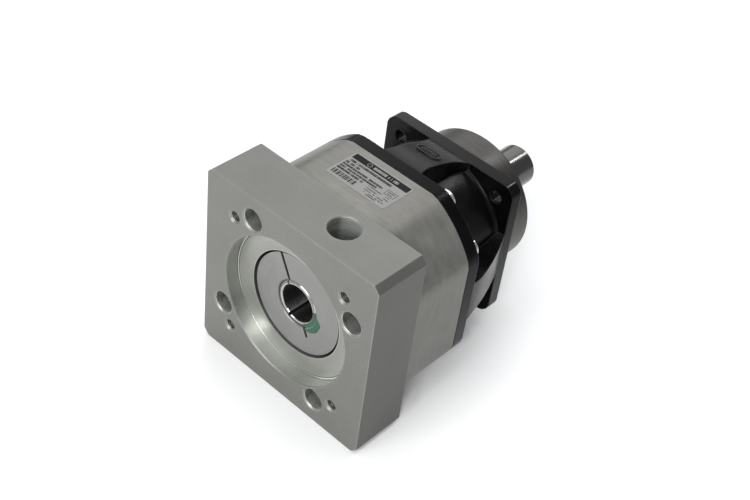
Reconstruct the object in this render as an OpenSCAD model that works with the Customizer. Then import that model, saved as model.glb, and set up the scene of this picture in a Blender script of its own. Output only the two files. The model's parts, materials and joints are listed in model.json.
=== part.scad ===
// Inline planetary gear reducer for a servo motor: clamp-hub input, single
// five-to-one planetary stage, square output flange with spigot and shaft.
// Millimetres. X is the shaft axis and points out of the output shaft, Z is up.
// The origin is the centre of the output flange's mounting face.

/* [Output side] */
// Output shaft diameter
shaft_d = 22; // [20:1:24]
// How far the shaft end stands in front of the flange face
shaft_reach = 57.5; // [50:0.5:64]
// Centring spigot diameter
spigot_d = 70; // [69:0.5:72]
// Centring spigot length
spigot_len = 19.5; // [19:0.5:22]
// Output flange width across its flats
flange_w = 78.8; // [77:0.2:84]
// Output flange thickness
flange_t = 6.6; // [5.6:0.2:7.6]
// Bolt circle of the output flange
flange_pcd = 85; // [84:1:88]
// Bolt hole diameter of the output flange
flange_hole_d = 6.6; // [5.5:0.1:7]
// Length of the ribbed waist between the flange and the clamping ring
waist_len = 35.4; // [35:0.2:38]

/* [Gear casing] */
// Width of the gear casing and the clamping ring across their flats
casing_w = 101; // [100:1:104]
// Diameter to which the casing's corners are turned
casing_turn_d = 113.4; // [112:0.2:116]
// Thickness of the clamping ring
ring_t = 7; // [7:0.5:9]
// Length of the gear casing
casing_len = 34; // [34:0.5:38]

/* [Motor side] */
// Adapter plate width across its flats
plate_w = 102.8; // [101:0.2:106]
// Diameter to which the plate's corners are turned
plate_turn_d = 141; // [138:1:144]
// Adapter plate thickness
plate_t = 29; // [28.5:0.5:30]
// Motor pilot recess diameter
pilot_d = 75; // [72:1:78]
// Motor pilot recess depth
pilot_depth = 7.6; // [7:0.1:8]
// Bolt circle of the motor's fixing threads
motor_pcd = 94.6; // [93:0.1:98]
// Bolt circle of the screws that hold the adapter plate
plate_pcd = 89.6; // [88:0.1:91]
// Motor shaft diameter, the bore of the slotted bushing
motor_shaft_d = 19; // [14:1:20]
// Clamp hub diameter
hub_d = 52; // [50:0.5:52.5]
// Where the clamp hub's slot points, from upright towards +Y
hub_angle = 27; // [0:1:359]

/* [Gears] */
// Gear module
gear_m = 1; // [0.98:0.01:1]
// Sun gear teeth; planets and internal gear follow from it
sun_teeth = 18; // [18:6:18]
// Number of planets
planet_count = 3; // [3:1:3]
// Backlash across a tooth space, at the pitch circle
backlash = 0.12; // [0.08:0.01:0.2]

/* [Hidden] */
$fn = 96;
play = 0.1;

// stations along the shaft axis, from the flange face back to the motor face
x_flange = -flange_t;
x_ring = x_flange - waist_len;
x_casing = x_ring - ring_t;
x_plate = x_casing - casing_len;
x_front = x_plate - plate_t;
x_pilot = x_front + pilot_depth;

// half widths
plate_h = plate_w / 2;
casing_h = casing_w / 2;
flange_h = flange_w / 2;
corner_cut = 13.5;
flange_turn_r = flange_h + corner_cut;
casing_turn_r = casing_turn_d / 2;
casing_ease = 0.45;
flange_ease = 0.5;
plate_turn_r = plate_turn_d / 2;

// gear train: internal gear = 4 x sun teeth, planet = 1.5 x sun teeth
planet_teeth = sun_teeth * 3 / 2;
annulus_teeth = sun_teeth * 4;
pressure_angle = 20;
centre_r = gear_m * (sun_teeth + planet_teeth) / 2;
sun_tip_r = gear_m * (sun_teeth / 2 + 1);
annulus_root_r = gear_m * (annulus_teeth / 2 + 1.25);
first_planet = 90;
planet_angles = [for (k = [0 : planet_count - 1]) first_planet + 360 * k / planet_count];

// input bearing, in the front of the gear casing
in_brg_w = 12;
in_brg_bore = 20;
in_brg_r = 31;
in_ball_r = 3.4;
in_balls = 16;
x_in_brg = x_plate;
x_wall = x_in_brg + in_brg_w;
wall_t = 1.6;

// carrier and planets
carrier_r = 34;
plate_disc_t = 2.4;
washer_t = 0.5;
x_carrier = x_wall + 2;
x_washer = x_carrier + plate_disc_t + 0.05;
x_planet = x_washer + washer_t + 0.05;
planet_len = casing_len - 20;
x_washer_back = x_planet + planet_len + 0.05;
x_disc = x_washer_back + washer_t + 0.05;
disc_t = 8;
lip_len = 2;
x_register = x_casing - lip_len - 0.2;
pin_r = 4;
planet_bore_r = 6;
needle_r = 0.95;
needles = 15;

// output bearings, in the casting's bore
out_brg_w = 14;
out_brg_bore = 17.5;
out_brg_r = 31;
out_ball_r = 4.5;
out_balls = 12;
bearing_gap = 12;
x_out_brg_1 = x_ring + 4;
x_spacer = x_out_brg_1 + out_brg_w;
x_out_brg_2 = x_spacer + bearing_gap;
x_nut = x_out_brg_2 + out_brg_w;
nut_w = 7;
nut_r = 22.5;
seal_w = 7;
seal_r = 23.5;
seal_land_r = 14;
x_seal = spigot_len - seal_w - 0.3;
x_shaft_step = spigot_len + 2;
shaft_chamfer = 1;
centre_depth = 20;

// clamp hub
hub_r = hub_d / 2;
hub_bore_r = 12;
hub_room = 27.15;
x_hub = x_pilot + 0.8;
x_hub_neck = x_plate - 4;
x_hub_end = x_wall + 1.7;
hub_slot_w = 1.5;
hub_cut_w = 1.4;
hub_relief_r = 17.2;
hub_clamp_len = x_hub_neck - x_hub - 3;
clamp_offset = 16;
clamp_seat = 7;
access_r = 7.5;
bush_slot_angle = -67;
bush_slot_w = 1.2;
bush_notch_len = 14;
bush_notch_w = 0.9;
circlip_t = 1.1;
x_clamp = x_front + 16.2;
x_bush_end = x_wall - 2;
pinion_stem_r = 6;

// screws; the plate's own are M5, all others M6
m5_r = 2.5;
m5_head_r = 4.25;
m5_hex = 4;
m5_clear_r = m5_r + 0.15;
m6_r = 3;
m6_head_r = 5;
m6_hex = 5;
m6_core_r = 2.5;
m6_clear_r = m6_r + 0.2;
thread_slack = 0.05;
screw_len = 20;
thread_depth = 15;
ring_screw_r = 46.8;
ring_screw_swing = 15;
plate_screw_angle = 60;
plate_counterbore_r = 5.5;
plate_counterbore = 21;
motor_thread_depth = 18;
shaft_core_r = 3.4;
quarter_angles = [45, 135, 225, 315];
plate_screw_angles = [for (k = [0 : 3]) plate_screw_angle - 90 * k];
ring_screw_angles = [for (a = quarter_angles, s = [-1, 1]) a + s * ring_screw_swing];

// ribs and barrel of the waist
rib_root = 30;
rib_end_drop = 0.3;
rib_waist = 10.1;
barrel_r = 37;
cove_ring = 4.5;
cove_flange = 2.5;
pad_place = 0.53;
pad_tilt = 18;
pad_r = 3.7;
pad_straight = 6.6;

// sealing rings
cord_r = 0.8;
plate_seal_r = 34.5;
ring_seal_r = 41;

// rating label on the casing's top face
label_w = 34.8;
label_len = 20.8;
label_t = 0.12;
label_corner = 1.5;
x_label = x_casing - 24.8;

// ---------- placing and common shapes ----------

// Turns a drawing's first axis to Y and its second to Z, and extrudes along X.
module axial(x = 0) {
    translate([x, 0, 0]) rotate([90, 0, 90]) children();
}

// A solid of revolution about the shaft axis, drawn as [radius, x].
module turned() {
    axial() rotate_extrude() children();
}

// A plain tube or disc about the shaft axis.
module tube(x, len, r_out, r_in = 0) {
    turned() translate([r_in, x]) square([r_out - r_in, len]);
}

// Puts copies on a circle about the shaft axis, angles counted from +Y towards +Z.
module on_circle(r, angles) {
    for (a = angles) rotate([a, 0, 0]) translate([0, r, 0]) children();
}

// A square whose corners are turned off to a radius. Where flat and turned corner meet,
// the edge is eased by a narrow facet.
module turned_square(half, turn_r, ease = 0) {
    swing = acos(half / turn_r) / 2;
    intersection() {
        square(2 * half, center = true);
        circle(turn_r);
        if (ease > 0) rotate(swing) square(2 * (turn_r * cos(swing) - ease), center = true);
        if (ease > 0) rotate(-swing) square(2 * (turn_r * cos(swing) - ease), center = true);
    }
}

// A straight-sided oval along the second axis.
module oval(straight, r) {
    square([2 * r, straight], center = true);
    for (s = [-1, 1]) translate([0, s * straight / 2]) circle(r, $fn = 48);
}

// A hole or bar along X through the local origin.
module bar(x, len, r, sides = 0) {
    axial(x) cylinder(h = len, r = r, $fn = sides > 0 ? sides : $fn);
}

// A cone along X, for chamfers.
module cone(x, len, r1, r2) {
    axial(x) cylinder(h = len, r1 = r1, r2 = r2);
}

// Socket head screw along X. The head's seat is at x = 0 and the shank goes to +X; the
// head is as high as the thread is wide, and hex is the key's width.
module socket_screw(len, r, head_r = m6_head_r, head_h = 2 * m6_r, hex = m6_hex) {
    difference() {
        union() {
            bar(0, len, r);
            bar(-head_h, head_h, head_r);
        }
        bar(-head_h - 1, head_h / 2 + 1, hex / 2 / cos(30), 6);
    }
}

// ---------- gear teeth ----------

function involute(a) = tan(a) * 180 / PI - a;
function base_r(teeth) = gear_m * teeth / 2 * cos(pressure_angle);

// Half of a tooth's angle at radius r. Each gear of a pair gives up half of the slack.
function half_tooth(teeth, r, slack) =
    let (a = r > base_r(teeth) ? acos(base_r(teeth) / r) : 0)
    90 / teeth - slack * 90 / PI / (gear_m * teeth)
    + involute(pressure_angle) - involute(a);

// Outline of teeth between two radii, one tooth centred on the first axis.
function teeth_outline(teeth, r_low, r_high, slack, steps = 4) =
    let (start = max(r_low, base_r(teeth)))
    let (radii = [for (i = [0 : steps]) start + (r_high - start) * i / steps])
    let (low = r_low < start - 0.01 ? [r_low] : [])
    let (flank = concat(low, radii))
    [for (t = [0 : teeth - 1], side = [-1, 1])
        let (order = side < 0 ? flank : [for (i = [len(flank) - 1 : -1 : 0]) flank[i]])
        for (r = order)
            let (a = 360 * t / teeth + side * half_tooth(teeth, max(r, start), slack))
            [r * cos(a), r * sin(a)]];

module outer_gear(x, len, teeth, turn) {
    axial(x) rotate([0, 0, turn]) linear_extrude(len)
        polygon(teeth_outline(teeth, gear_m * (teeth / 2 - 1.25), gear_m * (teeth / 2 + 1), backlash));
}

// ---------- bearings ----------

module race_groove(x, w, pitch_r, ball_r) {
    translate([pitch_r, x + w / 2]) circle(ball_r + play);
}

module inner_race(x, w, bore, r_out, ball_r) {
    pitch_r = (bore + r_out) / 2;
    turned() difference() {
        translate([bore, x]) square([pitch_r - ball_r / 2 - bore, w]);
        race_groove(x, w, pitch_r, ball_r);
    }
}

module outer_race(x, w, bore, r_out, ball_r) {
    pitch_r = (bore + r_out) / 2;
    turned() difference() {
        translate([pitch_r + ball_r / 2, x]) square([r_out - pitch_r - ball_r / 2, w]);
        race_groove(x, w, pitch_r, ball_r);
    }
}

module ball_set(x, w, bore, r_out, ball_r, count) {
    on_circle((bore + r_out) / 2, [for (i = [0 : count - 1]) 360 * i / count])
        translate([x + w / 2, 0, 0]) sphere(ball_r);
}

module ball_cage(x, w, bore, r_out, ball_r, count) {
    pitch_r = (bore + r_out) / 2;
    rim = ball_r + 1;
    difference() {
        tube(x + w / 2 - rim, 2 * rim, pitch_r + ball_r * 0.24, pitch_r - ball_r * 0.24);
        for (i = [0 : count - 1]) rotate([360 * i / count, 0, 0])
            translate([x + w / 2, pitch_r - ball_r, 0]) rotate([-90, 0, 0])
                cylinder(h = 2 * ball_r, r = ball_r + 0.2);
    }
}

// ---------- casing parts ----------

module adapter_plate() {
    color("silver") difference() {
        axial(x_front) linear_extrude(plate_t) turned_square(plate_h, plate_turn_r);
        // motor pilot recess with a broken edge, and room for the clamp hub
        bar(x_front - 1, pilot_depth + 1, pilot_d / 2);
        cone(x_front - 0.5, 1, pilot_d / 2 + 1, pilot_d / 2);
        bar(x_front, plate_t + 1, hub_room);
        // counterbored holes for the plate's own screws
        on_circle(plate_pcd / 2, plate_screw_angles) {
            bar(x_front - 1, plate_counterbore + 1, plate_counterbore_r);
            bar(x_front, plate_t + 1, m5_clear_r);
            cone(x_front - 0.5, 1.2, plate_counterbore_r + 1.2, plate_counterbore_r);
        }
        // threads for the motor's screws
        on_circle(motor_pcd / 2, quarter_angles) {
            bar(x_front - 1, motor_thread_depth + 1, m6_core_r);
            cone(x_front - 0.5, 1.5, m6_core_r + 1.5, m6_core_r);
        }
        // opening that reaches the clamp screw
        translate([x_clamp, -clamp_offset, 0]) {
            cylinder(h = plate_h + 1, r = access_r);
            translate([0, 0, plate_h - 0.4]) cylinder(h = 1, r1 = access_r, r2 = access_r + 1);
        }
    }
}

module plate_screws() {
    color("dimgray") on_circle(plate_pcd / 2, plate_screw_angles)
        translate([x_front + plate_counterbore, 0, 0])
            socket_screw(screw_len, m5_r - play, m5_head_r, 2 * m5_r, m5_hex);
}

module gear_casing() {
    color("darkgray") difference() {
        axial(x_plate) linear_extrude(casing_len) turned_square(casing_h, casing_turn_r, casing_ease);
        // bearing seat, its shoulder, and the gear space
        bar(x_plate - 1, in_brg_w + 1, in_brg_r);
        bar(x_plate, casing_len, in_brg_r - 3.5);
        bar(x_wall + wall_t, 1.4, annulus_root_r + 0.35);
        // internal gear teeth, cut as the spaces between them
        axial(x_wall + wall_t) rotate([0, 0, first_planet])
            linear_extrude(casing_len)
                polygon(teeth_outline(annulus_teeth, gear_m * (annulus_teeth / 2 - 1),
                                      annulus_root_r, -backlash));
        // register for the output housing's lip
        bar(x_register, lip_len + 1, annulus_root_r + 1.25);
        // grooves for the sealing rings
        tube(x_plate - 1, 2 * cord_r + 1, plate_seal_r + 1, plate_seal_r - 1);
        tube(x_casing - 2 * cord_r, 2 * cord_r + 1, ring_seal_r + 1, ring_seal_r - 1);
        // threads for the plate's and the ring's screws
        on_circle(plate_pcd / 2, plate_screw_angles)
            bar(x_plate - 1, thread_depth, m5_r - thread_slack);
        on_circle(ring_screw_r, ring_screw_angles)
            bar(x_casing - thread_depth + 1, thread_depth, m6_r - thread_slack);
    }
}

// One rib of the waist, on the +Z side; s runs from 0 at the ring to 1 at the flange. Its
// crown falls in a shallow curve, and its flanks flare out where they meet ring and flange.
function rib_crown(s) = casing_h - (casing_h - flange_h + rib_end_drop) * pow(s, 1.5);
function rib_half(s) =
    rib_waist + 1.7 * pow(max(1 - 4 * s, 0), 2) + 2.7 * pow(max(1 - (1 - s) / 0.35, 0), 1.8);

module rib() {
    steps = 16;
    len = waist_len + 1;
    stations = [for (i = [0 : steps]) i / steps];
    translate([x_ring - 0.5, 0, 0]) intersection() {
        rotate([90, 0, 0]) linear_extrude(40, center = true)
            polygon(concat([[0, rib_root]], [for (s = stations) [s * len, rib_crown(s)]],
                           [[len, rib_root]]));
        linear_extrude(80)
            polygon(concat([for (s = stations) [s * len, rib_half(s)]],
                           [for (i = [steps : -1 : 0]) [i * len / steps, -rib_half(i / steps)]]));
    }
}

// Outline of the barrel between ring and flange, with coves at both ends.
function cove(cx, cr, r, from, to) =
    [for (i = [0 : 6]) let (a = from + (to - from) * i / 6) [cr + r * cos(a), cx + r * sin(a)]];

module barrel_profile() {
    polygon(concat(
        [[out_brg_r - 1, x_ring - 1], [barrel_r + cove_ring, x_ring - 1]],
        cove(x_ring + cove_ring, barrel_r + cove_ring, cove_ring, -90, -180),
        cove(x_flange - cove_flange, barrel_r + cove_flange, cove_flange, 180, 90),
        [[barrel_r + cove_flange, x_flange + 1], [out_brg_r - 1, x_flange + 1]]));
}

// Plain oval pad with a rim on the top rib, where a founder's mark would be.
module rib_pad() {
    translate([x_ring + pad_place * waist_len, 0, rib_crown(pad_place) - 0.9])
        rotate([0, pad_tilt, 0]) difference() {
            linear_extrude(1.5) oval(pad_straight, pad_r);
            translate([0, 0, 1.1]) linear_extrude(1) difference() {
                oval(pad_straight, pad_r - 0.8);
                oval(pad_straight - 1, pad_r - 2.2);
            }
        }
}

module output_housing() {
    color([0.06, 0.06, 0.07]) difference() {
        union() {
            axial(x_casing) linear_extrude(ring_t) turned_square(casing_h, casing_turn_r, casing_ease);
            tube(x_casing - lip_len, lip_len + 1, annulus_root_r + 1.2, carrier_r + 1);
            turned() barrel_profile();
            for (a = [0 : 90 : 270]) rotate([a, 0, 0]) rib();
            rib_pad();
            axial(x_flange) linear_extrude(flange_t) turned_square(flange_h, flange_turn_r, flange_ease);
            tube(-1, spigot_len + 1, spigot_d / 2);
        }
        // carrier room, bearing bore, circlip groove and seal seat
        bar(x_casing - lip_len - 1, ring_t + lip_len + 1.5, carrier_r + 1);
        bar(x_casing, x_nut - x_casing, out_brg_r);
        tube(x_out_brg_1 - 1.7, 1.7, out_brg_r + 1.4);
        bar(0, spigot_len + 1, seal_r);
        on_circle(ring_screw_r, ring_screw_angles) bar(x_casing - 1, ring_t + 2, m6_clear_r);
        on_circle(flange_pcd / 2, quarter_angles) bar(x_flange - 1, flange_t + 2, flange_hole_d / 2);
    }
}

module ring_screws() {
    color("silver") on_circle(ring_screw_r, ring_screw_angles)
        translate([x_ring, 0, 0]) mirror([1, 0, 0]) socket_screw(screw_len, m6_r - play);
}

module o_ring(x, r) {
    color([0.08, 0.08, 0.08]) turned() translate([r, x]) circle(cord_r - 0.01, $fn = 32);
}

module plate_o_ring() {
    o_ring(x_plate + cord_r, plate_seal_r);
}

module ring_o_ring() {
    o_ring(x_casing - cord_r, ring_seal_r);
}

module rating_label() {
    color("gainsboro") translate([x_label, -label_w / 2, casing_h]) linear_extrude(label_t) {
        translate([label_corner, 0]) square([label_len - 2 * label_corner, label_w]);
        translate([0, label_corner]) square([label_len, label_w - 2 * label_corner]);
        for (u = [label_corner, label_len - label_corner], v = [label_corner, label_w - label_corner])
            translate([u, v]) circle(label_corner, $fn = 32);
    }
}

// ---------- input side ----------

// Puts the clamp hub's own frame in place: local +Z is where its slot points.
module hub_frame() {
    rotate([-hub_angle, 0, 0]) children();
}

module clamp_hub() {
    color("lightgray") difference() {
        union() {
            bar(x_hub, x_hub_neck - x_hub, hub_r);
            bar(x_hub_neck - 1, x_in_brg - x_hub_neck + 1, in_brg_bore + 3);
            bar(x_in_brg - 1, x_hub_end - x_in_brg + 1, in_brg_bore);
        }
        bar(x_hub - 1, x_bush_end - x_hub + 1, hub_bore_r);
        cone(x_hub - 0.5, 1, hub_bore_r + 1, hub_bore_r);
        bar(x_bush_end - 1, 6, pinion_stem_r);
        tube(x_wall, circlip_t, in_brg_bore + 1, in_brg_bore - 1);
        hub_frame() {
            // the slot, its short relief opposite, and the cross cut behind the clamp
            translate([x_hub - 1, -hub_slot_w / 2, 0])
                cube([hub_clamp_len + 1, hub_slot_w, hub_r + 1]);
            translate([x_hub - 1, -hub_slot_w / 2, -hub_relief_r])
                cube([hub_clamp_len + 1, hub_slot_w, hub_relief_r]);
            translate([x_hub + hub_clamp_len - hub_cut_w, -hub_r - 1, hub_bore_r / 2])
                cube([hub_cut_w, hub_d + 2, hub_r]);
            // clamp screw: counterbore on one side of the slot, thread on the other
            translate([x_clamp, 0, clamp_offset]) rotate([90, 0, 0]) {
                translate([0, 0, -hub_r]) cylinder(h = hub_d, r = m6_r + 0.2);
                translate([0, 0, clamp_seat]) cylinder(h = hub_r, r = m6_head_r + 0.25);
            }
        }
    }
}

module clamp_screw() {
    color([0.15, 0.15, 0.16]) hub_frame() translate([x_clamp, 0, clamp_offset])
        rotate([0, 0, 90]) translate([-clamp_seat, 0, 0]) socket_screw(screw_len, m6_r);
}

// Bushing between motor shaft and hub: slit along its whole length, with two notches that
// let it close.
module shaft_bushing() {
    x = x_hub + 0.3;
    r = motor_shaft_d / 2;
    color("gray") difference() {
        turned() polygon([
            [r, x + 0.4], [r + 0.4, x], [hub_bore_r - 0.8, x], [hub_bore_r, x + 0.8],
            [hub_bore_r, x_bush_end], [r, x_bush_end]]);
        rotate([bush_slot_angle, 0, 0]) translate([x - 1, 0, -bush_slot_w / 2])
            cube([x_bush_end + 2 - x, hub_bore_r + 1, bush_slot_w]);
        for (a = [120, 240]) rotate([bush_slot_angle + a, 0, 0])
            translate([x - 1, 0, -bush_notch_w / 2])
                cube([bush_notch_len + 1, hub_bore_r + 1, bush_notch_w]);
    }
}

module sun_pinion() {
    x_gear = x_wall + 3;
    color("slategray") {
        bar(x_bush_end + 0.3, x_gear - x_bush_end, pinion_stem_r);
        outer_gear(x_gear, planet_len + 1.8, sun_teeth, first_planet);
    }
}

module hub_circlip() {
    color("dimgray") difference() {
        tube(x_wall, circlip_t, in_brg_bore + 1.6, in_brg_bore - 1);
        hub_frame() translate([x_wall - 1, -3, 0]) cube([4, 6, in_brg_bore + 4]);
    }
}

module input_bearing_inner() {
    color("silver") inner_race(x_in_brg, in_brg_w, in_brg_bore, in_brg_r, in_ball_r);
}

module input_bearing_outer() {
    color("silver") outer_race(x_in_brg, in_brg_w, in_brg_bore, in_brg_r, in_ball_r);
}

module input_bearing_balls() {
    color("white") ball_set(x_in_brg, in_brg_w, in_brg_bore, in_brg_r, in_ball_r, in_balls);
}

module input_bearing_cage() {
    color("goldenrod") ball_cage(x_in_brg, in_brg_w, in_brg_bore, in_brg_r, in_ball_r, in_balls);
}

// ---------- carrier, planets and output shaft ----------

module output_shaft() {
    color("lightsteelblue") difference() {
        union() {
            bar(x_disc, disc_t, carrier_r);
            bar(x_disc + disc_t - 1, x_out_brg_1 - x_disc - disc_t + 1, out_brg_bore + 3.5);
            bar(x_out_brg_1 - 1, x_nut - x_out_brg_1 + 1, out_brg_bore);
            bar(x_nut - 1, nut_w + 2, out_brg_bore - 2.5);
            bar(x_nut, x_shaft_step - x_nut, seal_land_r);
            bar(x_shaft_step - 1, shaft_reach - shaft_chamfer - x_shaft_step + 1, shaft_d / 2);
            cone(shaft_reach - shaft_chamfer, shaft_chamfer, shaft_d / 2, shaft_d / 2 - shaft_chamfer);
        }
        on_circle(centre_r, planet_angles) bar(x_disc - 1, disc_t, pin_r);
        // centre thread and its countersink
        bar(shaft_reach - centre_depth, centre_depth + 1, shaft_core_r);
        cone(shaft_reach - 1.2, 1.3, shaft_core_r, shaft_core_r + 1.3);
    }
}

module carrier_plate() {
    color("steelblue") difference() {
        tube(x_carrier, plate_disc_t, carrier_r - 0.5, sun_tip_r + 1.5);
        on_circle(centre_r, planet_angles) bar(x_carrier - 1, plate_disc_t + 2, pin_r);
    }
}

module planet_pins() {
    color("gray") on_circle(centre_r, planet_angles)
        bar(x_carrier, x_disc + disc_t - 1 - x_carrier, pin_r);
}

module planet_washers() {
    color("peru") on_circle(centre_r, planet_angles)
        for (x = [x_washer, x_washer_back]) tube(x, washer_t, 8, pin_r);
}

module planet_gear(k) {
    color("burlywood") rotate([planet_angles[k - 1], 0, 0]) translate([0, centre_r, 0]) difference() {
        outer_gear(x_planet, planet_len, planet_teeth, 0);
        bar(x_planet - 1, planet_len + 2, planet_bore_r);
    }
}

module planet_needles(k) {
    color("white") rotate([planet_angles[k - 1], 0, 0]) translate([0, centre_r, 0])
        on_circle((pin_r + planet_bore_r) / 2, [for (i = [0 : needles - 1]) 360 * i / needles])
            bar(x_planet + 0.3, planet_len - 0.6, needle_r, 24);
}

module rear_bearing_inner() {
    color("silver") inner_race(x_out_brg_1, out_brg_w, out_brg_bore, out_brg_r, out_ball_r);
}

module rear_bearing_outer() {
    color("silver") outer_race(x_out_brg_1, out_brg_w, out_brg_bore, out_brg_r, out_ball_r);
}

module rear_bearing_balls() {
    color("white") ball_set(x_out_brg_1, out_brg_w, out_brg_bore, out_brg_r, out_ball_r, out_balls);
}

module rear_bearing_cage() {
    color("goldenrod") ball_cage(x_out_brg_1, out_brg_w, out_brg_bore, out_brg_r, out_ball_r, out_balls);
}

module front_bearing_inner() {
    color("silver") inner_race(x_out_brg_2, out_brg_w, out_brg_bore, out_brg_r, out_ball_r);
}

module front_bearing_outer() {
    color("silver") outer_race(x_out_brg_2, out_brg_w, out_brg_bore, out_brg_r, out_ball_r);
}

module front_bearing_balls() {
    color("white") ball_set(x_out_brg_2, out_brg_w, out_brg_bore, out_brg_r, out_ball_r, out_balls);
}

module front_bearing_cage() {
    color("goldenrod") ball_cage(x_out_brg_2, out_brg_w, out_brg_bore, out_brg_r, out_ball_r, out_balls);
}

module inner_spacer() {
    color("gray") tube(x_spacer, bearing_gap, out_brg_bore + 2.5, out_brg_bore);
}

module outer_spacer() {
    color("gray") tube(x_spacer, bearing_gap, out_brg_r, out_brg_r - 2.5);
}

module bearing_circlip() {
    color("dimgray") difference() {
        tube(x_out_brg_1 - 1.5, 1.5, out_brg_r + 1.3, out_brg_r - 2.5);
        translate([x_out_brg_1 - 3, -4, 0]) cube([4, 8, out_brg_r + 3]);
    }
}

module bearing_nut() {
    color("gray") difference() {
        tube(x_nut, nut_w, nut_r, out_brg_bore - 2.5);
        for (a = [0 : 90 : 270]) rotate([a, 0, 0])
            translate([x_nut - 1, nut_r - 2.5, -2.5]) cube([nut_w + 2, 5, 5]);
    }
}

module output_seal() {
    color([0.25, 0.12, 0.08]) turned() polygon([
        [seal_r, x_seal], [seal_r, x_seal + seal_w], [seal_land_r + 1.5, x_seal + seal_w],
        [seal_land_r + 0.06, x_seal + seal_w - 1.5], [seal_land_r + 1.5, x_seal + 3.5],
        [seal_r - 2.5, x_seal + 3.5], [seal_r - 2.5, x_seal]]);
}

adapter_plate();
plate_screws();
gear_casing();
output_housing();
ring_screws();
plate_o_ring();
ring_o_ring();
rating_label();
clamp_hub();
shaft_bushing();
clamp_screw();
sun_pinion();
hub_circlip();
input_bearing_inner();
input_bearing_outer();
input_bearing_balls();
input_bearing_cage();
output_shaft();
carrier_plate();
planet_pins();
planet_washers();
planet_gear(1);  // planet_gear_1
planet_gear(2);  // planet_gear_2
planet_gear(3);  // planet_gear_3
planet_needles(1);  // planet_needles_1
planet_needles(2);  // planet_needles_2
planet_needles(3);  // planet_needles_3
rear_bearing_inner();
rear_bearing_outer();
rear_bearing_balls();
rear_bearing_cage();
front_bearing_inner();
front_bearing_outer();
front_bearing_balls();
front_bearing_cage();
inner_spacer();
outer_spacer();
bearing_circlip();
bearing_nut();
output_seal();
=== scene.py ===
"""Looks of an inline planetary gear reducer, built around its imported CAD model.

Everything is in metres in the CAD frame: X is the shaft axis and points out of the
output shaft, Z is up, and the origin is the centre of the output flange's face.
"""
import json
import math
import random

import bmesh
import bpy
from mathutils import Matrix, Vector


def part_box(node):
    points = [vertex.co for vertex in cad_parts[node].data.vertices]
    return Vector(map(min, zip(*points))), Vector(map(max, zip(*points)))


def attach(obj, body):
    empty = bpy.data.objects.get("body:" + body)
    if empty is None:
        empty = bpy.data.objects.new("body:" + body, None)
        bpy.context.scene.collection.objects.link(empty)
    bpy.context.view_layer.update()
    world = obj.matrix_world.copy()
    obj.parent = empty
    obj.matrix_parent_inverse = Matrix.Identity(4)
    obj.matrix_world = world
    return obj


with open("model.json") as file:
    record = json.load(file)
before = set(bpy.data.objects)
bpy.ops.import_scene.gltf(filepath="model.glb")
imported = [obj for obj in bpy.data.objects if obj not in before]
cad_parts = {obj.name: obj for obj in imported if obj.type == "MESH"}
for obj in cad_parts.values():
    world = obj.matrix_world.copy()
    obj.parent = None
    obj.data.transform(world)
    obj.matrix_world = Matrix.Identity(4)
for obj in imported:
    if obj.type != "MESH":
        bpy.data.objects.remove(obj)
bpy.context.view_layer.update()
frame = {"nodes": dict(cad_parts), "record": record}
MM = 0.001
NODES = frame["nodes"]


# ---------------------------------------------------------------- places taken from the frame

PLATE_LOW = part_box("adapter_plate")[0]
HUB_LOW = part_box("clamp_hub")[0]
BUSHING_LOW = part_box("shaft_bushing")[0]
LABEL_LOW, LABEL_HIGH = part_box("rating_label")
PLATE_FACE = PLATE_LOW.x / MM    # the plate's and the hub's outer faces, X in mm
HUB_FACE = HUB_LOW.x / MM

# cuts in the adapter plate, in mm; circles are round the shaft axis
RECESS_RADIUS = 37.5
WELL_CIRCLE, WELL_TURN, WELL_RADIUS = 44.8, 15, 5.5    # its own screws, turned off the diagonals
MOTOR_CIRCLE, TAP_RADIUS = 47.3, 2.5
KEY_HOLE_X, KEY_HOLE_Y, KEY_HOLE_RADIUS = PLATE_FACE + 16.2, -16.0, 7.5
# the bushing's bore, and where its slit is: from +Y towards +Z
BORE_RADIUS, SLIT_ANGLE = 9.5, math.radians(-67)
# X stations of the output housing: behind its ring, its flange's rear face, its bare front
RING_END, FLANGE_REAR, BARE_START = -41.9, -6.5, -0.12


# ---------------------------------------------------------------- camera, floor and light

def make_camera():
    """The photograph's viewing angle: from the motor side, high, slightly rolled."""
    azimuth = math.radians(37.81)
    elevation = math.radians(41.37)
    roll = math.radians(8.14)
    place = Vector((-0.4013, -0.2705, 0.3916))
    forward = Vector((math.cos(elevation) * math.cos(azimuth),
                      math.cos(elevation) * math.sin(azimuth), -math.sin(elevation)))
    right = forward.cross(Vector((0, 0, 1))).normalized()
    up = right.cross(forward)
    right_rolled = math.cos(roll) * right + math.sin(roll) * up
    up_rolled = math.cos(roll) * up - math.sin(roll) * right
    data = bpy.data.cameras.new("camera")
    data.lens = 60.24
    data.sensor_width = 36
    data.clip_start = 0.01
    camera = bpy.data.objects.new("camera", data)
    bpy.context.scene.collection.objects.link(camera)
    turn = Matrix((right_rolled, up_rolled, -forward)).transposed()
    camera.matrix_world = Matrix.Translation(place) @ turn.to_4x4()
    bpy.context.scene.camera = camera


# name, direction from the object, distance, width, power
LIGHTS = (
    ("key", (-0.72, -0.42, 0.56), 1.1, 0.22, 3.6),
    ("front", (-0.92, 0.10, 0.35), 1.1, 0.60, 7.1),
    ("top", (0.0, 0.0, 1.0), 1.1, 0.90, 5.9),
    ("back_top", (0.62, 0.50, 0.60), 1.1, 0.90, 3.6),
    ("line", (0.69, -0.09, 0.72), 1.2, 0.10, 1.5),
)
WORLD = 0.38
STUDIO_CENTRE = Vector((-0.03, 0, 0))


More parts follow.
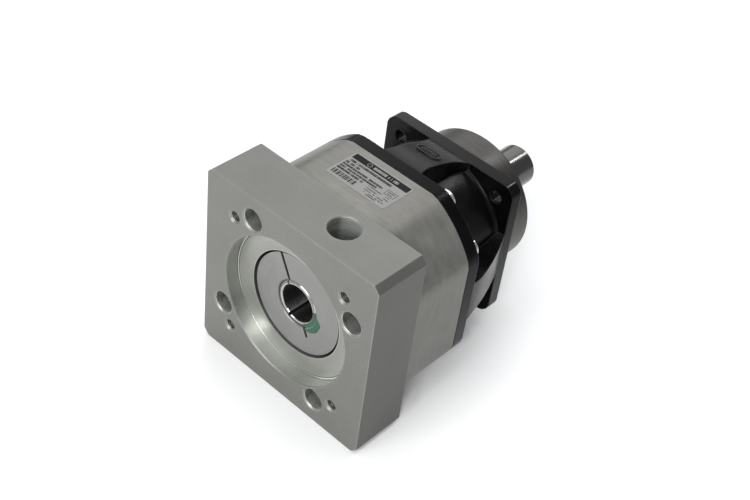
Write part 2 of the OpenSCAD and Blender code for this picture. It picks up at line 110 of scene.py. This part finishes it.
def area_light(name, direction, distance, width, power):
    data = bpy.data.lights.new(name, "AREA")
    data.shape = "SQUARE"
    data.size = width
    data.energy = power
    lamp = bpy.data.objects.new(name, data)
    bpy.context.scene.collection.objects.link(lamp)
    outward = Vector(direction).normalized()
    lamp.location = STUDIO_CENTRE + outward * distance
    lamp.rotation_euler = outward.to_track_quat("Z", "Y").to_euler()


def make_studio():
    scene = bpy.context.scene
    scene.view_settings.view_transform = "Standard"
    world = bpy.data.worlds.new("studio")
    world.use_nodes = True
    backdrop = world.node_tree.nodes["Background"]
    backdrop.inputs["Color"].default_value = (0.95, 0.97, 1.0, 1)
    backdrop.inputs["Strength"].default_value = WORLD
    scene.world = world
    for light in LIGHTS:
        area_light(*light)

    floor_half = 3.0
    mesh = bpy.data.meshes.new("floor")
    level = PLATE_LOW.z
    corners = [(-floor_half, -floor_half), (floor_half, -floor_half),
               (floor_half, floor_half), (-floor_half, floor_half)]
    mesh.from_pydata([(x, y, level) for x, y in corners], [], [(0, 1, 2, 3)])
    floor = bpy.data.objects.new("floor", mesh)
    scene.collection.objects.link(floor)
    paper = bpy.data.materials.new("floor_paper")
    paper.use_nodes = True
    shader = paper.node_tree.nodes["Principled BSDF"]
    shader.inputs["Base Color"].default_value = (0.95, 0.95, 0.95, 1)
    shader.inputs["Roughness"].default_value = 0.9
    mesh.materials.append(paper)


# ---------------------------------------------------------------- material tools

class Finish:
    """A node material around one Principled shader. Coordinates are the object's, in mm."""

    def __init__(self, name, base, roughness, metallic=0.0, **sockets):
        self.material = bpy.data.materials.new(name)
        self.material.use_nodes = True
        self.tree = self.material.node_tree
        self.shader = self.tree.nodes["Principled BSDF"]
        self.base = base
        self.shader.inputs["Base Color"].default_value = (*base, 1)
        self.shader.inputs["Roughness"].default_value = roughness
        self.shader.inputs["Metallic"].default_value = metallic
        for socket, value in sockets.items():
            self.shader.inputs[socket.replace("_", " ")].default_value = value
        self.coords = self.add("ShaderNodeTexCoord")
        self.place = self.scaled(self.coords.outputs["Object"], (1000, 1000, 1000))
        self.normal = None

    def add(self, kind, **values):
        node = self.tree.nodes.new(kind)
        for key, value in values.items():
            setattr(node, key, value)
        return node

    def put(self, value, socket):
        """Links a socket, or sets a plain value."""
        if isinstance(value, bpy.types.NodeSocket):
            self.tree.links.new(value, socket)
        else:
            socket.default_value = value

    def scaled(self, vector, scale):
        node = self.add("ShaderNodeMapping")
        self.put(vector, node.inputs["Vector"])
        node.inputs["Scale"].default_value = scale
        return node.outputs["Vector"]

    def axes(self, vector):
        node = self.add("ShaderNodeSeparateXYZ")
        self.put(vector, node.inputs[0])
        return node.outputs

    # numbers: each takes sockets or plain values, and gives a socket

    def math(self, operation, *values, clamp=False):
        node = self.add("ShaderNodeMath", operation=operation, use_clamp=clamp)
        for value, socket in zip(values, node.inputs):
            self.put(value, socket)
        return node.outputs[0]

    def total(self, first, *others):
        """The sum of several numbers."""
        for value in others:
            first = self.math("ADD", first, value)
        return first

    def times(self, first, *others):
        """The product of several numbers."""
        for value in others:
            first = self.math("MULTIPLY", first, value)
        return first

    def less(self, value, part):
        return self.math("SUBTRACT", value, part)

    def without(self, *masks):
        """1 where none of the masks is, 0 inside them."""
        return self.math("SUBTRACT", 1.0, self.total(*masks), clamp=True)

    def above(self, value, level):
        return self.math("GREATER_THAN", value, level)

    def below(self, value, level):
        return self.math("LESS_THAN", value, level)

    def between(self, value, low, high):
        return self.times(self.above(value, low), self.below(value, high))

    def span(self, value, low, high, to_low=0.0, to_high=1.0):
        """Maps low..high to to_low..to_high, clamped."""
        node = self.add("ShaderNodeMapRange")
        self.put(value, node.inputs["Value"])
        for key, number in (("From Min", low), ("From Max", high),
                            ("To Min", to_low), ("To Max", to_high)):
            self.put(number, node.inputs[key])
        return node.outputs["Result"]

    def within(self, mask, factor):
        """A factor that holds inside a mask; it is 1 outside."""
        return self.span(mask, 0, 1, 1.0, factor)

    def around(self, value, depth):
        """Turns a noise value into a factor that varies by depth around 1."""
        return self.span(value, 0.28, 0.72, 1 - depth, 1 + depth)

    # patterns

    def noise(self, vector, scale, detail=3.0, roughness=0.55):
        node = self.add("ShaderNodeTexNoise")
        self.put(vector, node.inputs["Vector"])
        node.inputs["Scale"].default_value = scale
        node.inputs["Detail"].default_value = detail
        node.inputs["Roughness"].default_value = roughness
        return node.outputs["Fac"]

    def stretched(self, scale, detail=3.0, roughness=0.55):
        """Noise with its own scale along each axis."""
        return self.noise(self.scaled(self.place, scale), 1.0, detail, roughness)

    def line_noise(self, value, scale, detail=3.0):
        """Noise along one number, such as a distance from an axis."""
        node = self.add("ShaderNodeTexNoise", noise_dimensions="1D")
        self.put(value, node.inputs["W"])
        node.inputs["Scale"].default_value = scale
        node.inputs["Detail"].default_value = detail
        return node.outputs["Fac"]

    def specks(self, scale, radius, share):
        """1 inside small spots: one in each of a share of the cells, 0 elsewhere."""
        cells = self.add("ShaderNodeTexVoronoi")
        self.put(self.place, cells.inputs["Vector"])
        cells.inputs["Scale"].default_value = scale
        chosen = self.below(self.axes(cells.outputs["Color"])[0], share)
        return self.times(self.below(cells.outputs["Distance"], radius), chosen)

    def mill_lines(self, across, along):
        """Fine cutter lines: along Y on top and bottom, along Z on the sides, else a grain."""
        on_top = self.stretched((across, along, across), 4)
        on_side = self.stretched((across, across, along), 4)
        grain = self.noise(self.place, 1.4, 5, 0.7)
        top, side = self.facing(2), self.facing(1)
        return self.total(self.times(on_top, top), self.times(on_side, side),
                          self.times(grain, self.without(top, side)))

    # places on the object

    def radius(self):
        """Distance from the shaft axis, in mm."""
        _, y, z = self.axes(self.place)
        return self.math("SQRT", self.total(self.times(y, y), self.times(z, z)))

    def facing(self, axis):
        """1 on faces square to an axis (0, 1 or 2), 0 on the others."""
        parts = self.axes(self.coords.outputs["Normal"])
        return self.span(self.math("ABSOLUTE", parts[axis]), 0.75, 0.9)

    def drilled(self, reach, turn, size):
        """1 within size of four holes on a circle, turn degrees short of the diagonals."""
        _, y, z = self.axes(self.place)
        cos, sin = math.cos(math.radians(turn)), math.sin(math.radians(turn))
        across = self.less(self.times(y, cos), self.times(z, -sin))
        up = self.less(self.times(z, cos), self.times(y, sin))
        sides = [self.less(self.math("ABSOLUTE", part), reach * math.sqrt(0.5))
                 for part in (across, up)]
        return self.below(self.total(*[self.times(part, part) for part in sides]), size * size)

    def key_hole(self, size):
        """1 inside the round opening in the plate's top that leads to the clamp screw."""
        x, y, z = self.axes(self.place)
        along, across = self.less(x, KEY_HOLE_X), self.less(y, KEY_HOLE_Y)
        squares = self.total(self.times(along, along), self.times(across, across))
        return self.times(self.below(squares, size * size), self.above(z, 18))

    # colour and relief

    def blend(self, share, a, b):
        """Mixes two colours; each is a socket or an RGB triple."""
        node = self.add("ShaderNodeMix", data_type="RGBA")
        self.put(share, node.inputs["Factor"])
        sockets = [s for s in node.inputs if s.type == "RGBA"]
        for value, socket in zip((a, b), sockets):
            self.put(value if isinstance(value, bpy.types.NodeSocket) else (*value, 1), socket)
        return [s for s in node.outputs if s.type == "RGBA"][0]

    def shade(self, colour, factor):
        """A colour made darker or lighter by a factor socket."""
        node = self.add("ShaderNodeVectorMath", operation="SCALE")
        self.put(colour, node.inputs[0])
        self.put(factor, node.inputs["Scale"])
        return node.outputs[0]

    def bump(self, height, distance):
        """Adds relief; distance is in mm."""
        node = self.add("ShaderNodeBump")
        node.inputs["Distance"].default_value = distance * MM
        self.put(height, node.inputs["Height"])
        if self.normal is not None:
            self.put(self.normal, node.inputs["Normal"])
        self.normal = node.outputs["Normal"]

    def soft_normal(self, radius):
        """The surface's direction if every edge had this radius, in mm."""
        node = self.add("ShaderNodeBevel", samples=6)
        node.inputs["Radius"].default_value = radius * MM
        return node.outputs["Normal"]

    def rounded(self, radius, along_shaft=False):
        """Lets every edge shade as if it had this radius, in mm; bump comes after it.

        With along_shaft, the outer faces round only at their edges along the shaft.
        """
        self.normal = self.soft_normal(radius)
        if along_shaft:
            x, y, z = self.axes(self.normal)
            level = self.add("ShaderNodeCombineXYZ")
            for value, socket in zip((self.times(x, self.facing(0)), y, z), level.inputs):
                self.put(value, socket)
            unit = self.add("ShaderNodeVectorMath", operation="NORMALIZE")
            self.put(level.outputs[0], unit.inputs[0])
            self.normal = unit.outputs["Vector"]

    def edge_nearness(self, reach):
        """1 on edges, falling to 0 within reach mm of them."""
        plain = self.add("ShaderNodeNewGeometry")
        match = self.add("ShaderNodeVectorMath", operation="DOT_PRODUCT")
        self.put(self.soft_normal(reach), match.inputs[0])
        self.put(plain.outputs["Normal"], match.inputs[1])
        return self.span(match.outputs["Value"], 0.86, 0.995, 1.0, 0.0)

    def finish(self, tone=None, roughness=None, metallic=None, colour=None):
        """Wires what varies: tone is a factor on the base colour, unless colour is given."""
        if colour is None and tone is not None:
            colour = self.shade(self.base, tone)
        for value, name in ((colour, "Base Color"), (roughness, "Roughness"),
                            (metallic, "Metallic"), (self.normal, "Normal")):
            if value is not None:
                self.put(value, self.shader.inputs[name])
        return self.material


# ---------------------------------------------------------------- materials

ALUMINIUM_METALLIC = 0.6


def plate_cuts(f, radius, depth):
    """Masks of the adapter plate's cuts, by name."""
    recess = f.times(f.below(radius, RECESS_RADIUS + 0.02), f.above(depth, PLATE_FACE + 0.6))
    return {
        "recess": recess,
        "wall": f.times(recess, f.above(radius, RECESS_RADIUS - 0.2)),
        "corner": f.times(recess, f.between(radius, RECESS_RADIUS - 0.75,
                                            RECESS_RADIUS - 0.2)),
        "wells": f.drilled(WELL_CIRCLE, WELL_TURN, WELL_RADIUS + 0.05),
        "rims": f.total(f.drilled(WELL_CIRCLE, WELL_TURN, WELL_RADIUS + 0.65),
                        f.drilled(MOTOR_CIRCLE, 0, TAP_RADIUS + 0.9)),
        "taps": f.times(f.drilled(MOTOR_CIRCLE, 0, TAP_RADIUS + 0.4),
                        f.above(depth, PLATE_FACE + 1.0)),
        "opening": f.key_hole(KEY_HOLE_RADIUS + 0.05),
    }


def plate_tone(f, cuts, radius, pattern, grain):
    """How light each place of the adapter plate is, as a factor on its base colour."""
    cloud = f.noise(f.place, 0.05, 3)
    nicks = f.specks(0.11, 0.022, 0.35)
    skin = f.times(f.around(pattern, 0.06), f.around(cloud, 0.05),
                   f.less(f.around(grain, 0.15), f.times(nicks, 0.55)))
    # the turned corners lie further out than any other face
    side = f.facing(1)
    outside = f.math("SUBTRACT", 1.0, f.math("MAXIMUM", cuts["recess"],
                                             f.key_hole(KEY_HOLE_RADIUS + 0.9)), clamp=True)
    turned_corner = f.times(f.without(f.facing(0), side, f.facing(2)), outside,
                            f.above(radius, 56.0))
    # painted reflection and highlight: the recess, the holes and the opening are lighter, their
    # walls most of all, the recess's floor towards its wall; the rims get a painted highlight
    floor_painted_light = f.span(radius, 20, 37, 0.1, 1.0)
    painted_light = f.total(f.times(cuts["recess"], f.total(floor_painted_light, f.times(cuts["wall"], 2.9))),
                   f.times(cuts["wells"], 4.8), f.times(cuts["opening"], 2.0),
                   f.times(cuts["rims"], 0.4))
    # painted shade: the sides and the turned corners are darker, for how the light falls on them
    tone = f.times(skin, f.within(side, 0.545), f.within(turned_corner, 0.82),
                   f.total(1.0, painted_light))
    # cutter lines on the walls of the holes
    for scale, inside in (((1.6, 0.05, 0.05), cuts["wells"]),
                          ((0.05, 0.05, 1.6), cuts["opening"])):
        spread = f.less(f.around(f.stretched(scale), 0.35), 1.0)
        tone = f.times(tone, f.total(1.0, f.times(spread, inside)))
    # painted shade in the threads and along the recess's inner corner, and a painted highlight
    # on the edges
    return f.times(tone, f.within(cuts["taps"], 0.3), f.within(cuts["corner"], 0.4),
                   f.total(1.0, f.times(f.edge_nearness(1.0), 0.9)))


def plate_finish():
    """The adapter plate: finely milled outside, turned rings in the pilot recess."""
    base, fresh_cut = (0.165, 0.167, 0.153), (0.162, 0.1665, 0.158)
    f = Finish("plate_aluminium", base, 0.42, ALUMINIUM_METALLIC)
    radius, depth = f.radius(), f.axes(f.place)[0]
    cuts = plate_cuts(f, radius, depth)
    recess = cuts["recess"]
    pattern = f.total(f.times(f.line_noise(radius, 1.8, 4), recess),
                      f.times(f.mill_lines(1.3, 0.03), f.less(1.0, recess)))
    grain = f.noise(f.place, 2.2, 4, 0.7)
    tone = plate_tone(f, cuts, radius, pattern, grain)
    bare = f.math("MAXIMUM", cuts["wall"], cuts["wells"])
    cool = f.math("MAXIMUM", bare, cuts["opening"])
    f.bump(pattern, 0.0018)
    f.bump(grain, 0.0015)
    polish = f.total(f.times(recess, 0.09), f.times(bare, 0.05))
    return f.finish(colour=f.shade(f.blend(cool, base, fresh_cut), tone),
                    roughness=f.less(f.span(pattern, 0.3, 0.7, 0.39, 0.46), polish),
                    metallic=f.span(bare, 0, 1, ALUMINIUM_METALLIC, 1.0))


def casing_finish():
    """The gear casing: satin aluminium with cutter lines and faint cloudy marks."""
    f = Finish("casing_aluminium", (0.188, 0.185, 0.168), 0.40, ALUMINIUM_METALLIC)
    lines = f.mill_lines(1.6, 0.05)
    marks = f.stretched((0.30, 0.10, 0.10), 4, 0.6)
    cloud = f.noise(f.place, 0.06, 3)
    grain = f.noise(f.place, 2.4, 4, 0.7)
    # painted shade: the top and bottom darken a little towards the turned corners and the sides
    # are darker; the turned corners get painted light
    top, side = f.facing(2), f.facing(1)
    off_centre = f.math("ABSOLUTE", f.axes(f.place)[1])
    painted_fall = f.times(f.span(off_centre, 6, 34, 0.0, 0.19), top)
    tone = f.times(f.around(lines, 0.06), f.around(marks, 0.15), f.around(cloud, 0.07),
                   f.around(grain, 0.05), f.within(side, 0.74), f.less(1.0, painted_fall),
                   f.within(f.without(top, side), 1.15))
    f.rounded(7, along_shaft=True)
    f.bump(lines, 0.003)
    f.bump(grain, 0.0015)
    return f.finish(tone=tone, roughness=f.span(marks, 0.3, 0.7, 0.37, 0.45))


def turned_metal(name, base, roughness, metallic=1.0, ring_scale=1.8, along=False,
                 depth=0.05, shade_behind=None):
    """Turned or ground round metal: fine rings round the shaft axis.

    Behind an X station, in mm, given as the last argument, it darkens: painted shade, as in a
    gap or a slot.
    """
    f = Finish(name, base, roughness, metallic)
    x = f.axes(f.place)[0]
    rings = f.line_noise(x if along else f.radius(), ring_scale, 5)
    cloud = f.noise(f.place, 0.09, 3)
    f.bump(rings, 0.002)
    tone = f.times(f.around(rings, depth), f.around(cloud, 0.05))
    if shade_behind is not None:
        # painted shade behind that station, in the gaps and slots
        tone = f.times(tone, f.span(x, shade_behind, shade_behind + 1.0, 1.0, 0.15))
    return f.finish(tone=tone,
                    roughness=f.span(rings, 0.3, 0.7, roughness - 0.03, roughness + 0.05))


def bushing_finish():
    """The slotted bushing: a turned face with a dark line, and a polished bore with a streaked,
    painted reflection.
    """
    f = Finish("bushing_steel", (0.44, 0.435, 0.424), 0.17, 0.9)
    x, y, z = f.axes(f.place)
    radius = f.radius()
    turn = f.math("ARCTAN2", z, y)
    in_bore = f.below(radius, BORE_RADIUS + 0.12)
    face = f.within(f.between(radius, BORE_RADIUS + 1.05, BORE_RADIUS + 1.6), 0.22)
    # painted reflection: the bore is light beside its slit, and dark further round
    above = f.times(f.above(turn, SLIT_ANGLE),
                    f.span(turn, SLIT_ANGLE, SLIT_ANGLE + 0.75, 1.0, 0.0))
    below = f.times(f.below(turn, SLIT_ANGLE),
                    f.span(turn, SLIT_ANGLE - 0.3, SLIT_ANGLE, 0.0, 0.6))
    far = f.span(f.math("ABSOLUTE", f.less(turn, 0.35)), 0.0, 0.25, 0.5, 0.0)
    bore_reflection = f.total(0.35, f.times(f.math("POWER", above, 2.5), 3.5), below, far)
    reflection_streaks = f.around(f.line_noise(turn, 9.0, 4), 0.35)
    tone = f.total(f.times(in_bore, bore_reflection, reflection_streaks), f.times(f.less(1.0, in_bore), face))
    rings = f.line_noise(x, 1.8, 5)
    f.bump(rings, 0.002)
    return f.finish(tone=tone, roughness=f.span(rings, 0.3, 0.7, 0.14, 0.22))


def housing_finish():
    """Black paint on a casting, with the spigot and the flange's front face bare and turned."""
    paint, bare = (0.0025, 0.0025, 0.0028), (0.078, 0.0755, 0.071)
    f = Finish("painted_casting", paint, 0.3)
    f.rounded(0.8)
    x = f.axes(f.place)[0]
    machined = f.above(x, BARE_START)
    painted = f.less(1.0, machined)
    skin = f.noise(f.place, 0.75, 4, 0.6)
    peel = f.noise(f.place, 3.0, 2)
    cloud = f.noise(f.place, 0.06, 4)
    rings = f.line_noise(x, 1.7, 5)
    smear = f.stretched((1.2, 0.12, 0.12))
    f.bump(f.times(skin, painted), 0.035)
    f.bump(f.times(peel, painted), 0.006)
    f.bump(f.times(rings, machined), 0.004)
    # painted highlight: the paint is lighter along every edge and blend
    edge_highlight = f.total(1.0, f.times(f.edge_nearness(0.45), 12.0))
    paint_tone = f.shade(paint, f.times(f.span(cloud, 0.3, 0.7, 0.7, 1.7), edge_highlight))
    bare_tone = f.shade(bare, f.times(f.around(rings, 0.10), f.around(smear, 0.20)))
    rough = f.total(f.times(f.span(cloud, 0.3, 0.7, 0.16, 0.30), painted),
                    f.times(f.span(rings, 0.3, 0.7, 0.34, 0.46), machined))
    # the ring and the flange's edge are duller than the rest of the paint
    dull = f.math("MAXIMUM", f.below(x, RING_END),
                  f.times(f.above(x, FLANGE_REAR), f.facing(1)))
    f.put(f.span(dull, 0, 1, 0.13, 0.065), f.shader.inputs["Specular IOR Level"])
    return f.finish(colour=f.blend(machined, paint_tone, bare_tone), roughness=rough,
                    metallic=machined)


def plain_metal(name, base, roughness):
    """Small parts: a cloudy satin metal."""
    f = Finish(name, base, roughness, 1.0)
    cloud = f.noise(f.place, 0.5, 4)
    f.bump(f.noise(f.place, 2.5, 3), 0.004)
    return f.finish(tone=f.around(cloud, 0.10),
                    roughness=f.span(cloud, 0.3, 0.7, roughness - 0.05, roughness + 0.08))


def matt_cover(name, base, roughness, relief=0.01, depth=0.10, specular=0.5):
    """Rubber, film, ink and marking paint: a fine matt grain."""
    f = Finish(name, base, roughness, Specular_IOR_Level=specular)
    grain = f.noise(f.place, 2.0, 4)
    f.bump(grain, relief)
    return f.finish(tone=f.around(grain, depth),
                    roughness=f.span(grain, 0.3, 0.7, roughness - 0.05, roughness + 0.05))


def make_slots():
    return {
        "plate_aluminium": plate_finish(),
        "casing_aluminium": casing_finish(),
        "painted_casting": housing_finish(),
        "black_screw": plain_metal("black_screw", (0.05, 0.05, 0.055), 0.4),
        "zinc_screw": plain_metal("zinc_screw", (0.55, 0.55, 0.53), 0.25),
        "seal_rubber": matt_cover("seal_rubber", (0.02, 0.02, 0.02), 0.55),
        "label_film": matt_cover("label_film", (0.232, 0.235, 0.222), 0.45, 0.003, 0.03, 0.3),
        "hub_steel": turned_metal("hub_steel", (0.228, 0.227, 0.220), 0.38, 0.7,
                                  depth=0.09, shade_behind=HUB_FACE + 0.3),
        "bushing_steel": bushing_finish(),
        "gear_steel": plain_metal("gear_steel", (0.40, 0.40, 0.41), 0.32),
        "spring_steel": plain_metal("spring_steel", (0.14, 0.14, 0.15), 0.4),
        "bearing_steel": plain_metal("bearing_steel", (0.72, 0.72, 0.73), 0.12),
        "cage_brass": plain_metal("cage_brass", (0.70, 0.52, 0.24), 0.35),
        "washer_bronze": plain_metal("washer_bronze", (0.60, 0.42, 0.24), 0.35),
        "shaft_steel": turned_metal("shaft_steel", (0.105, 0.104, 0.101), 0.20, along=True,
                                    ring_scale=2.5),
    }


# ---------------------------------------------------------------- CAD nodes

# broken edges of the parts that show, in mm; the rest get a hairline
EDGES = {
    "adapter_plate": 0.35, "gear_casing": 0.3, "clamp_hub": 0.2,
    "shaft_bushing": 0.12, "ring_screws": 0.25, "plate_screws": 0.25, "output_shaft": 0.15,
    "clamp_screw": 0.2, "bearing_nut": 0.2, "rating_label": 0.03,
}
HAIRLINE = 0.04
OUTLINE_FROM = 51.2    # the plate's outline lies further from the axis than this
CREASE = math.radians(35)    # sharper edges than this are broken
WELD_DISTANCE = 0.001


def outline_group(piece):
    """The vertices of the plate's outline: only those are joined, so only its edges are broken.

    The holes and the recess have chamfers of their own.
    """
    group = piece.vertex_groups.new(name="outline")
    chosen = []
    for vertex in piece.data.vertices:
        x, y, z = vertex.co
        off_axis = math.hypot(y, z) > OUTLINE_FROM * MM
        from_hole = math.hypot(x / MM - KEY_HOLE_X, y / MM - KEY_HOLE_Y)
        at_hole = z > 0 and from_hole < KEY_HOLE_RADIUS + 1.5
        if off_axis and not at_hole:
            chosen.append(vertex.index)
    group.add(chosen, 1.0, "REPLACE")
    return group.name


def dress_nodes(slots):
    """Gives every CAD node its finish, and softens its edges."""
    slot_of = {part["node"]: part["material_slot"] for part in frame["record"]["subparts"]}
    for name, piece in NODES.items():
        piece.data.materials.clear()
        piece.data.materials.append(slots[slot_of[name]])
        for polygon in piece.data.polygons:
            polygon.use_smooth = True
        weld = piece.modifiers.new("weld", "WELD")
        weld.merge_threshold = WELD_DISTANCE * MM
        if name == "adapter_plate":
            weld.vertex_group = outline_group(piece)
        if name == "output_housing":
            # a casting full of blends: its edges are split here and rounded in the shader
            split = piece.modifiers.new("edges", "EDGE_SPLIT")
            split.split_angle = CREASE
            continue
        bevel = piece.modifiers.new("edges", "BEVEL")
        bevel.width = EDGES.get(name, HAIRLINE) * MM
        bevel.segments = 2 if name in EDGES else 1
        bevel.limit_method = "ANGLE"
        bevel.angle_limit = CREASE
        bevel.use_clamp_overlap = name not in EDGES
        bevel.face_strength_mode = "FSTR_AFFECTED"
        shading = piece.modifiers.new("shading", "WEIGHTED_NORMAL")
        shading.use_face_influence = True


# ---------------------------------------------------------------- added pieces

def mesh_piece(name, build, material, body, smooth=False):
    """Makes a mesh with build(bm) and lets it ride on a body."""
    mesh = bpy.data.meshes.new(name)
    bm = bmesh.new()
    build(bm)
    bmesh.ops.recalc_face_normals(bm, faces=bm.faces)
    for face in bm.faces:
        face.smooth = smooth
    bm.to_mesh(mesh)
    bm.free()
    mesh.materials.append(material)
    piece = bpy.data.objects.new(name, mesh)
    bpy.context.scene.collection.objects.link(piece)
    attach(piece, body)
    return piece


def slab(bm, low, high):
    """A flat box between two corners."""
    made = bmesh.ops.create_cube(bm, size=1)["verts"]
    low, high = Vector(low), Vector(high)
    for vertex in made:
        share = vertex.co + Vector((0.5, 0.5, 0.5))
        vertex.co = low + Vector([s * d for s, d in zip(share, high - low)])


def label_print():
    """Generic print on the rating label: a dark band, rows of dashes, bars and a box.

    Sizes are in mm. down counts from the label's output-side edge towards the motor, and
    across from its +Y edge towards -Y, as the rows are read.
    """
    ink = matt_cover("label_ink", (0.014, 0.014, 0.014), 0.6, 0.002, specular=0.08)
    pale = matt_cover("label_pale", (0.24, 0.24, 0.232), 0.5, 0.002)
    top = LABEL_HIGH.z
    wide = (LABEL_HIGH.y - LABEL_LOW.y) / MM
    margin, band = 0.9, 3.9
    film = 0.02 * MM
    draw = random.Random(7)

    def mark(bm, down, across, height, length, level=0.0):
        x, y = LABEL_HIGH.x - down * MM, LABEL_HIGH.y - across * MM
        slab(bm, (x - height * MM, y - length * MM, top + level),
             (x, y, top + level + film))

    def row(bm, down, start, end, height, fill=0.93, level=0.0):
        """A row of short upright strokes and dashes that stands for a line of print."""
        across = start
        while across < end:
            length = draw.choice((0.28, 0.45, 0.6, 0.8))
            if draw.random() < fill:
                mark(bm, down, across, height, min(length, end - across), level)
            across += length + draw.choice((0.15, 0.15, 0.25))

    def frame_lines(bm, down, across, height, length, line):
        for place in (0, height - line):
            mark(bm, down + place, across, line, length)
        for place in (0, length - line):
            mark(bm, down, across + place, height, line)

    def dark(bm):
        mark(bm, margin, margin, band, wide - 2 * margin)
        rows = ((5.7, 1.2, 26.5, 1.5), (7.9, 1.2, 9.5, 1.4), (9.9, 1.2, 25.0, 1.3),
                (11.8, 1.2, 23.0, 1.2), (13.6, 1.2, 16.5, 1.4))
        for down, start, end, height in rows:
            row(bm, down, start, end, height)
        for down, start, end in ((13.6, 19.0, 32.0), (15.2, 19.0, 26.0), (15.2, 30.0, 33.0),
                                 (16.6, 20.0, 31.0), (18.0, 21.0, 32.5), (19.0, 22.0, 29.0)):
            row(bm, down, start, end, 0.5, 0.8)
        across = 1.4
        while across < 14.5:
            bar = draw.choice((0.25, 0.25, 0.5, 0.75))
            mark(bm, 15.9, across, 3.2, bar)
            across += bar + draw.choice((0.25, 0.35, 0.5))
        frame_lines(bm, 9.0, 27.5, 3.6, 5.6, 0.22)
        row(bm, 9.9, 28.4, 32.2, 0.5)
        row(bm, 11.3, 28.8, 31.8, 0.5)

    def light(bm):
        row(bm, margin + 1.1, 13.0, 27.5, 1.7, 0.95, film)
        centre_down, centre_across = margin + band / 2, 10.4
        for step in range(24):
            turn = 2 * math.pi * step / 24
            mark(bm, centre_down - 0.12 - 1.15 * math.sin(turn),
                 centre_across - 0.12 - 1.15 * math.cos(turn), 0.26, 0.26, film)

    mesh_piece("label_ink", dark, ink, "casing")
    mesh_piece("label_band_marks", light, pale, "casing")


def smooth_step(value, low, high):
    share = min(max((value - low) / (high - low), 0), 1)
    return share * share * (3 - 2 * share)


def inspection_mark():
    """A dab of green marking paint across the edge of the clamp hub's bore.

    Drawn in polar form round the shaft axis, with angles from +Y towards +Z.
    """
    green = matt_cover("marking_green", (0.022, 0.082, 0.047), 0.45, 0.02, 0.18, 0.3)
    start, end, steps = 170, 241, 60
    coat = 0.05 * MM
    # radius and depth of the surfaces that the paint crosses: bushing face, groove, hub face
    face = HUB_LOW.x
    rim = BUSHING_LOW.x
    crossed = ((10.0, rim), (11.4, rim), (12.1, rim + 0.25 * MM), (12.6, face))

    def outline(angle):
        """How far out the paint reaches at an angle, in mm."""
        spread = smooth_step(angle, 176, 192) * (1 - 0.62 * smooth_step(angle, 208, 246))
        return 12.75 + 2.75 * spread

    def build(bm):
        rows = []
        for step in range(steps + 1):
            angle = start + (end - start) * step / steps
            turn = math.radians(angle)
            reach = outline(angle)
            taper = smooth_step(angle, start - 1, start + 12)
            stations = [(r, x) for r, x in crossed]
            stations += [(12.6 + (reach - 12.6) * share, face) for share in (0.35, 0.75, 1.0)]
            line = []
            for index, (r, x) in enumerate(stations):
                height = 0 if index == len(stations) - 1 else coat * (0.4 + 0.6 * taper)
                line.append(bm.verts.new((x - height, r * MM * math.cos(turn),
                                          r * MM * math.sin(turn))))
            rows.append(line)
        for a, b in zip(rows, rows[1:]):
            for i in range(len(a) - 1):
                bm.faces.new((a[i], a[i + 1], b[i + 1], b[i]))
        sheet = bm.faces[:]
        made = bmesh.ops.extrude_face_region(bm, geom=sheet)["geom"]
        bmesh.ops.translate(bm, vec=(coat, 0, 0),
                            verts=[v for v in made if isinstance(v, bmesh.types.BMVert)])

    mesh_piece("inspection_mark", build, green, "input", smooth=True)


def screw_thread(bm, centre, start, length, wall, ridge, pitch, steps=28):
    """Thread turns on a hole's wall: a V-shaped ridge wound along +X from start, in metres."""
    count = int(length / pitch * steps)
    rings = []
    for step in range(count + 1):
        turn = 2 * math.pi * step / steps
        x = start + pitch * step / steps
        fade = min(1, step / steps, (count - step) / steps)
        rings.append([bm.verts.new((x + shift * pitch, centre[0] + r * math.cos(turn),
                                    centre[1] + r * math.sin(turn)))
                      for shift, r in ((-0.4, wall), (0.0, wall - ridge * fade - 0.01 * MM),
                                       (0.4, wall))])
    for a, b in zip(rings, rings[1:]):
        for i in range(3):
            j = (i + 1) % 3
            bm.faces.new((a[i], a[j], b[j], b[i]))
    bm.faces.new(rings[0])
    bm.faces.new(rings[-1][::-1])


def motor_threads(material):
    """Thread turns in the four tapped holes of the adapter plate."""
    reach = MOTOR_CIRCLE * math.sqrt(0.5) * MM

    def build(bm):
        for y in (-reach, reach):
            for z in (-reach, reach):
                screw_thread(bm, (y, z), start=(PLATE_FACE + 1.0) * MM, length=12 * MM,
                             wall=(TAP_RADIUS + 0.01) * MM, ridge=0.28 * MM, pitch=1.0 * MM)

    mesh_piece("motor_threads", build, material, "casing", smooth=False)


make_camera()
make_studio()
slots = make_slots()
dress_nodes(slots)
label_print()
inspection_mark()
motor_threads(slots["plate_aluminium"])
